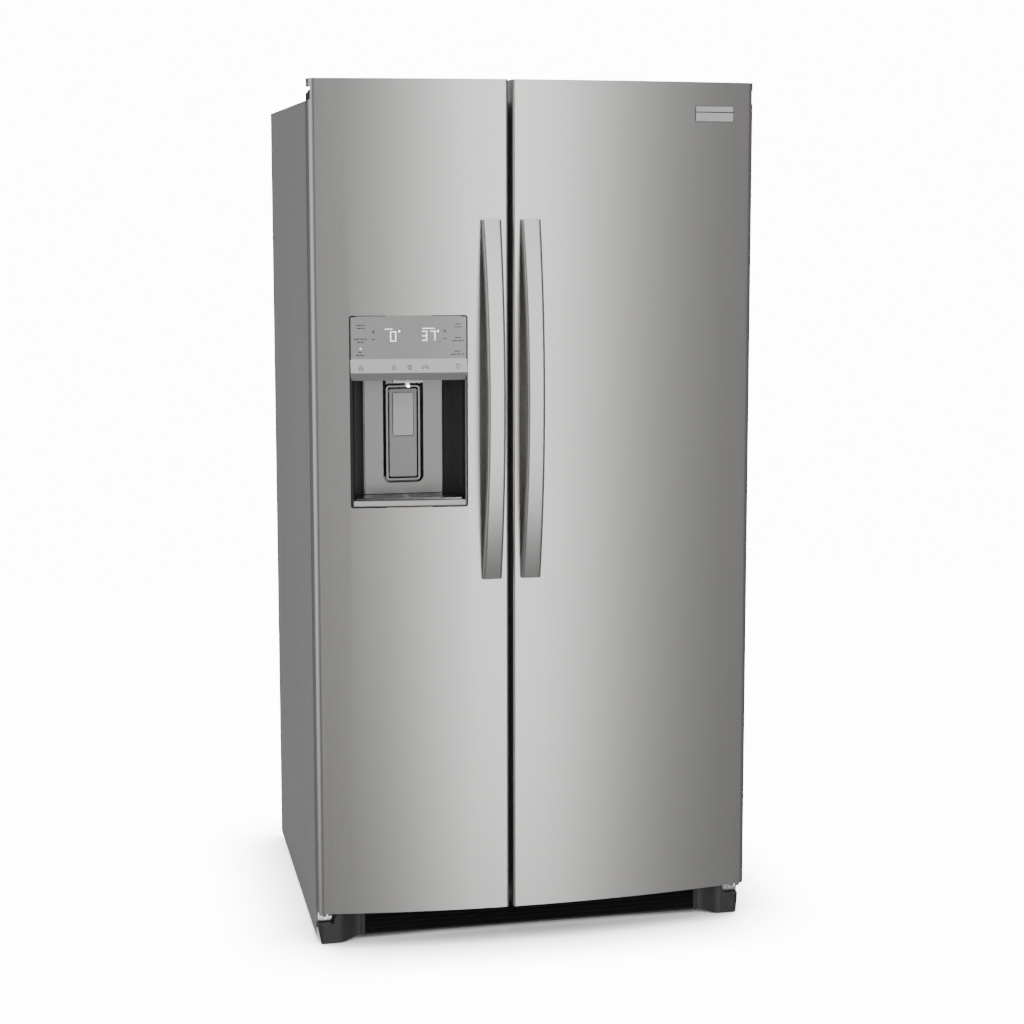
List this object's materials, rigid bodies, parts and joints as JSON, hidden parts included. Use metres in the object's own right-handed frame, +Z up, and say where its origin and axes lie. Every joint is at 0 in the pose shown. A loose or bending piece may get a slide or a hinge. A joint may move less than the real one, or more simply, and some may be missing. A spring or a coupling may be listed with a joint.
{
  "type": "side by side refrigerator",
  "caption": "Free-standing side by side refrigerator with bowed brushed steel doors, arched bar handles and an ice and water dispenser in the freezer door.",
  "frame": {"origin": "on the floor, under the middle of the overall box, handles included", "axes": "+Z up, -Y towards the person opening the doors, +X to that person's right"},
  "size_m": [0.915, 0.882, 1.77],
  "materials": {
    "brushed_stainless": "vertical brushed stainless steel",
    "handle_stainless": "satin stainless bar",
    "cabinet_paint": "textured grey enamel on steel",
    "zinc_sheet": "zinc plated sheet",
    "fibre_board": "ribbed fibre board",
    "liner_white": "vacuum formed white lining",
    "foam": "rigid polyurethane foam",
    "grille_black": "black moulded plastic",
    "foot_grey": "dark grey moulded plastic",
    "hinge_steel": "bright plated steel",
    "cap_grey": "grey moulded plastic",
    "gasket_grey": "flexible magnetic seal",
    "clear_plastic": "clear moulded plastic",
    "ice_plastic": "frosted moulded plastic",
    "shelf_white": "white moulded plastic",
    "shelf_glass": "tempered glass",
    "track_steel": "white enamelled steel",
    "dispenser_black": "dark gloss plastic",
    "panel_grey": "grey display face over a satin strip",
    "sill_bright": "bright metallised plastic",
    "grille_metal": "metallised slotted grille",
    "recess_satin": "satin grey plastic",
    "nozzle_white": "white plastic",
    "flap_dark": "dark moulded plastic",
    "roller_grey": "hard nylon",
    "leg_zinc": "zinc plated screw",
    "auger_steel": "stainless",
    "coil_aluminium": "bare fins",
    "fan_plastic": "black moulded plastic",
    "compressor_black": "black enamel",
    "valve_plastic": "white nylon",
    "rubber_black": "black rubber"
  },
  "bodies": {
    "cabinet": {"air_covers": "liner_white", "back_panel": "zinc_sheet", "base_frame": "zinc_sheet", "cabinet_foam": "foam", "compressor": "compressor_black", "condenser": "coil_aluminium", "door_hinges": "hinge_steel", "evaporator": "coil_aluminium", "fan_motor": "fan_plastic", "foot_covers": "foot_grey", "freezer_liner": "liner_white", "freezer_shelves": "shelf_white", "fridge_liner": "liner_white", "fridge_shelf_frames": "shelf_white", "fridge_shelf_glass": "shelf_glass", "grommets": "rubber_black", "hinge_covers": "foot_grey", "ice_bin": "ice_plastic", "ice_maker": "shelf_white", "light_lenses": "clear_plastic", "outer_wrapper": "cabinet_paint", "rear_cover": "fibre_board", "shelf_tracks": "track_steel", "toe_grille": "grille_black", "water_valve": "valve_plastic"},
    "freezer_door": {"freezer_door_skin": "brushed_stainless", "freezer_door_caps": "cap_grey", "freezer_door_liner": "liner_white", "freezer_door_foam": "foam", "freezer_gasket": "gasket_grey", "freezer_handle": "handle_stainless", "freezer_door_bins": "clear_plastic", "dispenser_housing": "dispenser_black", "control_panel": "panel_grey", "drip_sill": "sill_bright", "recess_panel": "recess_satin", "water_nozzle": "nozzle_white"},
    "fridge_door": {"fridge_door_skin": "brushed_stainless", "fridge_door_caps": "cap_grey", "fridge_door_liner": "liner_white", "fridge_door_foam": "foam", "fridge_gasket": "gasket_grey", "fridge_handle": "handle_stainless", "fridge_door_bins": "clear_plastic"},
    "paddle": {"dispenser_paddle": "recess_satin"},
    "flap": {"chute_flap": "flap_dark"},
    "grille": {"drip_grille": "grille_metal"},
    "lid": {"dairy_lid": "clear_plastic"},
    "upper_drawer": {"crisper_upper": "clear_plastic"},
    "lower_drawer": {"crisper_lower": "clear_plastic"},
    "basket": {"freezer_basket": "shelf_white"},
    "slider": {"humidity_slider": "shelf_white"},
    "front_wheels": {"front_rollers": "roller_grey"},
    "rear_wheels": {"rear_rollers": "roller_grey"},
    "left_leg": {"leveling_leg_left": "leg_zinc"},
    "right_leg": {"leveling_leg_right": "leg_zinc"},
    "condenser_rotor": {"condenser_fan": "fan_plastic"},
    "evaporator_rotor": {"evaporator_fan": "fan_plastic"},
    "auger": {"ice_auger": "auger_steel"},
    "shutoff_arm": {"ice_maker_arm": "auger_steel"}
  },
  "joints": [
    {"name": "freezer_door_hinge", "type": "hinge", "parent": "cabinet", "child": "freezer_door", "pos_m": [-0.44, -0.317, 0.9], "axis": [0, 0, -1], "range_deg": [0, 115]},
    {"name": "fridge_door_hinge", "type": "hinge", "parent": "cabinet", "child": "fridge_door", "pos_m": [0.44, -0.317, 0.9], "axis": [0, 0, 1], "range_deg": [0, 115]},
    {"name": "paddle_pivot", "type": "hinge", "parent": "freezer_door", "child": "paddle", "pos_m": [-0.266, -0.277, 1.147], "axis": [1, 0, 0], "range_deg": [0, 6], "stiffness_Nm_per_rad": 2},
    {"name": "flap_pivot", "type": "hinge", "parent": "freezer_door", "child": "flap", "pos_m": [-0.266, -0.247, 1.279], "axis": [-1, 0, 0], "range_deg": [0, 50]},
    {"name": "grille_lift", "type": "slide", "parent": "freezer_door", "child": "grille", "axis": [0, 0, 1], "range_m": [0, 0.05]},
    {"name": "dairy_lid_pivot", "type": "hinge", "parent": "fridge_door", "child": "lid", "pos_m": [0.19, -0.287, 1.536], "axis": [1, 0, 0], "range_deg": [0, 70]},
    {"name": "upper_drawer_slide", "type": "slide", "parent": "cabinet", "child": "upper_drawer", "axis": [0, -1, 0], "range_m": [0, 0.12]},
    {"name": "lower_drawer_slide", "type": "slide", "parent": "cabinet", "child": "lower_drawer", "axis": [0, -1, 0], "range_m": [0, 0.12]},
    {"name": "basket_slide", "type": "slide", "parent": "cabinet", "child": "basket", "axis": [0, -1, 0], "range_m": [0, 0.12]},
    {"name": "humidity_slide", "type": "slide", "parent": "cabinet", "child": "slider", "axis": [1, 0, 0], "range_m": [-0.02, 0.02]},
    {"name": "front_wheels_spin", "type": "hinge", "parent": "cabinet", "child": "front_wheels", "pos_m": [0, -0.177, 0.03], "axis": [1, 0, 0], "continuous": true},
    {"name": "rear_wheels_spin", "type": "hinge", "parent": "cabinet", "child": "rear_wheels", "pos_m": [0, 0.4, 0.027], "axis": [1, 0, 0], "continuous": true},
    {"name": "left_leg_turn", "type": "hinge", "parent": "cabinet", "child": "left_leg", "pos_m": [-0.425, -0.251, 0.04], "axis": [0, 0, 1], "continuous": true},
    {"name": "right_leg_turn", "type": "hinge", "parent": "cabinet", "child": "right_leg", "pos_m": [0.425, -0.251, 0.04], "axis": [0, 0, 1], "continuous": true},
    {"name": "condenser_fan_spin", "type": "hinge", "parent": "cabinet", "child": "condenser_rotor", "pos_m": [-0.23, 0.272, 0.165], "axis": [0, 1, 0], "continuous": true},
    {"name": "evaporator_fan_spin", "type": "hinge", "parent": "cabinet", "child": "evaporator_rotor", "pos_m": [-0.2425, 0.3615, 0.96], "axis": [0, 1, 0], "continuous": true},
    {"name": "auger_spin", "type": "hinge", "parent": "cabinet", "child": "auger", "pos_m": [-0.266, 0.09, 1.25], "axis": [0, 1, 0], "continuous": true},
    {"name": "shutoff_arm_pivot", "type": "hinge", "parent": "cabinet", "child": "shutoff_arm", "pos_m": [-0.28, -0.02, 1.53], "axis": [1, 0, 0], "range_deg": [0, 30]}
  ],
  "couplings": [
    {"joint": "flap_pivot", "follows": "paddle_pivot", "ratio": 8}
  ]
}
